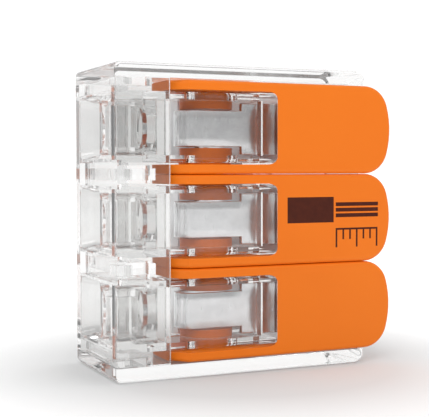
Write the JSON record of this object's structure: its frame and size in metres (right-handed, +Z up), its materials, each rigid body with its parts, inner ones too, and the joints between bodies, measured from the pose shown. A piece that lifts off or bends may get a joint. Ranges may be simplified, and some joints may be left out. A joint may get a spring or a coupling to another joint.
{
  "type": "lever wire connector",
  "caption": "Compact splicing connector: clear block with a row of wire entries, an inner busbar with spring clamps, and an orange lever per way that swings up to open its clamp.",
  "frame": {"origin": "centre of the overall footprint, at the end wall the connector stands on", "axes": "+Z up along the row of ways, -X out of the wire entries, -Y out of the levers' faces, +Y out of the base"},
  "size_m": [0.0186, 0.0082, 0.0187],
  "materials": {
    "clear_plastic": "clear, polished moulding",
    "orange_plastic": "fine satin moulding",
    "tinned_copper": "satin tin plating over copper",
    "spring_steel": "rolled strip"
  },
  "bodies": {
    "housing": {"housing_body": "clear_plastic", "entry_cover": "clear_plastic", "busbar": "tinned_copper", "clamp_spring_1": "spring_steel", "clamp_spring_2": "spring_steel", "clamp_spring_3": "spring_steel"},
    "lever_1": {"lever_1": "orange_plastic"},
    "leg_1": {"clamp_leg_1": "spring_steel"},
    "lever_2": {"lever_2": "orange_plastic"},
    "leg_2": {"clamp_leg_2": "spring_steel"},
    "lever_3": {"lever_3": "orange_plastic"},
    "leg_3": {"clamp_leg_3": "spring_steel"}
  },
  "joints": [
    {"name": "lever_1_hinge", "type": "hinge", "parent": "housing", "child": "lever_1", "pos_m": [-0.00235, -0.0008, 0.00375], "axis": [0, 0, -1], "range_deg": [0, 90]},
    {"name": "leg_1_bend", "type": "hinge", "parent": "housing", "child": "leg_1", "pos_m": [-0.00355, -0.0012, 0.00375], "axis": [0, 0, -1], "range_deg": [0, 35]},
    {"name": "lever_2_hinge", "type": "hinge", "parent": "housing", "child": "lever_2", "pos_m": [-0.00235, -0.0008, 0.00935], "axis": [0, 0, -1], "range_deg": [0, 90]},
    {"name": "leg_2_bend", "type": "hinge", "parent": "housing", "child": "leg_2", "pos_m": [-0.00355, -0.0012, 0.00935], "axis": [0, 0, -1], "range_deg": [0, 35]},
    {"name": "lever_3_hinge", "type": "hinge", "parent": "housing", "child": "lever_3", "pos_m": [-0.00235, -0.0008, 0.01495], "axis": [0, 0, -1], "range_deg": [0, 90]},
    {"name": "leg_3_bend", "type": "hinge", "parent": "housing", "child": "leg_3", "pos_m": [-0.00355, -0.0012, 0.01495], "axis": [0, 0, -1], "range_deg": [0, 35]}
  ],
  "couplings": [
    {"joint": "leg_1_bend", "follows": "lever_1_hinge", "ratio": 0.3888},
    {"joint": "leg_2_bend", "follows": "lever_2_hinge", "ratio": 0.3888},
    {"joint": "leg_3_bend", "follows": "lever_3_hinge", "ratio": 0.3888}
  ]
}
